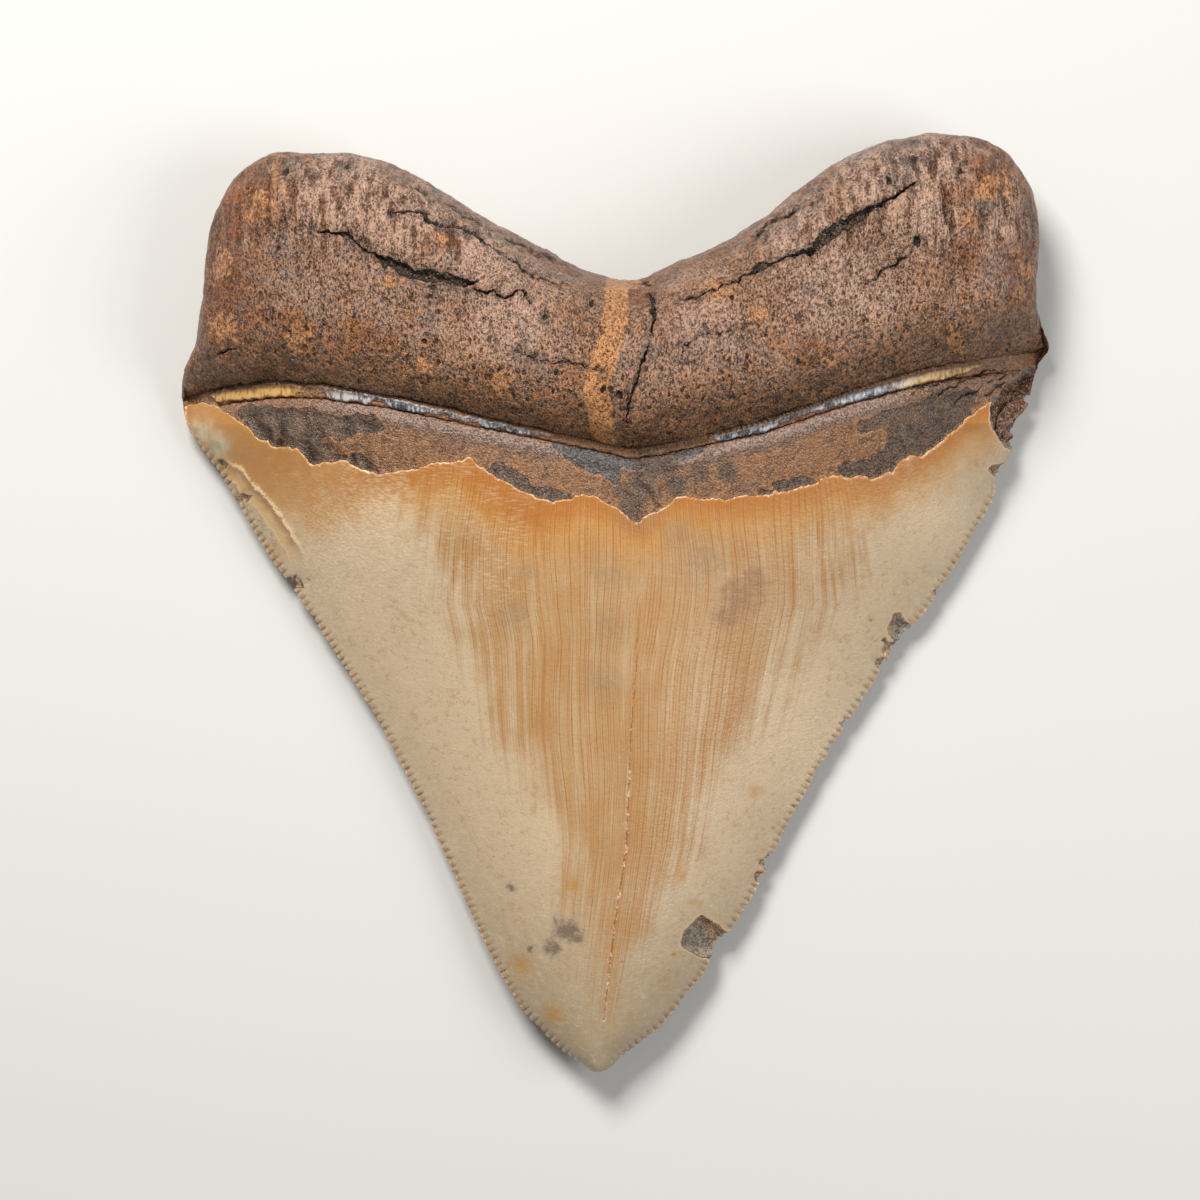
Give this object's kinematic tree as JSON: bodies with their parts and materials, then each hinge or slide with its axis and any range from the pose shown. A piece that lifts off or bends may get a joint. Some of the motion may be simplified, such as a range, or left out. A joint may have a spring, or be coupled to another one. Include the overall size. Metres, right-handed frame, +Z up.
{
  "type": "megalodon tooth",
  "caption": "Broad triangular fossil shark tooth with a domed inner face, serrated cutting edges and a thick two-lobed root, lying on its flatter outer face.",
  "frame": {"origin": "middle of the tooth's box, on the plane that it rests on", "axes": "+Y from the tip of the crown towards the root, +X to the right of a viewer looking down on the domed inner face, +Z up out of that face"},
  "size_m": [0.1154, 0.1246, 0.027],
  "materials": {
    "fossil_tooth": "mineralised tooth: brown porous root, worn grey-brown neck band, satin beige enamel with orange streaks"
  },
  "bodies": {
    "root": {"tooth": "fossil_tooth"}
  },
  "joints": []
}
